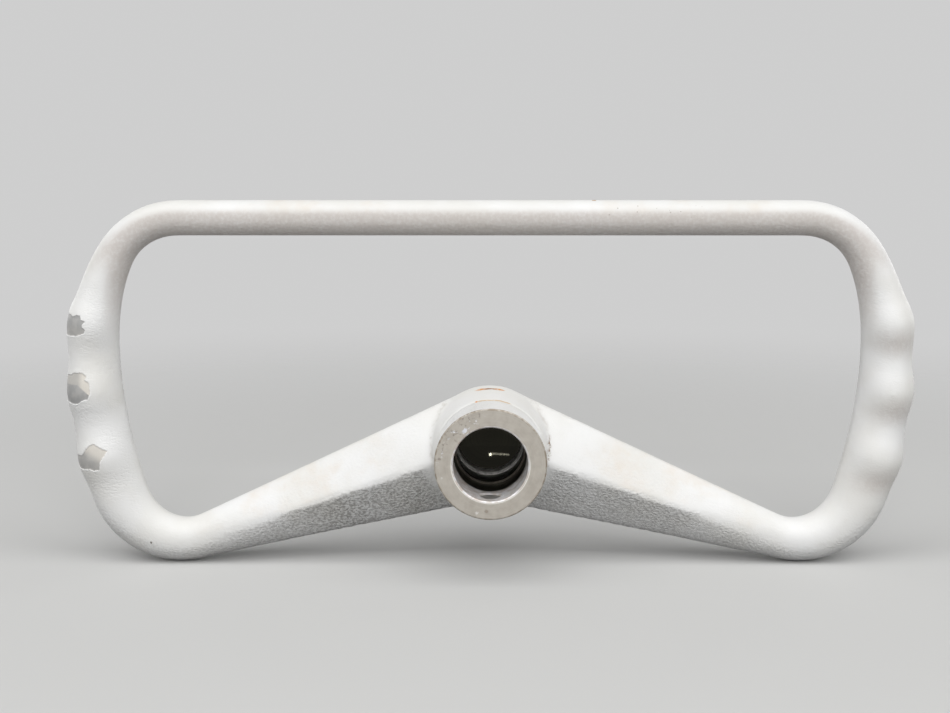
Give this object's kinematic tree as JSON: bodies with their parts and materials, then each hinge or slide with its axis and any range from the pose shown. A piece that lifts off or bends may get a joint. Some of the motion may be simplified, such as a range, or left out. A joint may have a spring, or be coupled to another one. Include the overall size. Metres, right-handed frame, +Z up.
{
  "type": "aircraft control yoke",
  "caption": "Aircraft control wheel: a closed flat loop with finger-shaped side grips, a straight top bar and two sloping arms that meet at a round hub, whose bore takes the control column.",
  "frame": {"origin": "centre of the bore's mouth, on the bore axis at the hub's front face", "axes": "-Y out of the bore's mouth, towards the instrument panel; +Z up; +X to the right when looking at the mouth"},
  "size_m": [0.3048, 0.049, 0.1313],
  "materials": {
    "white_enamel": "white enamel over a cast skin, worn through on the left grip",
    "turned_steel": "turned, bare and dull, painted on the outside of the boss",
    "spring_steel": "bright spring wire",
    "bush_metal": "bright lead-in, oiled bore",
    "plug_metal": "dark dished face inside, painted outside",
    "screw_steel": "dull zinc"
  },
  "bodies": {
    "wheel": {"wheel_casting": "white_enamel", "hub_sleeve": "turned_steel", "stop_ring": "spring_steel", "hub_bush": "bush_metal", "end_plug": "plug_metal"},
    "lock_screw": {"lock_screw": "screw_steel"}
  },
  "joints": [
    {"name": "lock_screw_travel", "type": "slide", "parent": "wheel", "child": "lock_screw", "axis": [0, 0, 1], "range_m": [0, 0.003]}
  ]
}
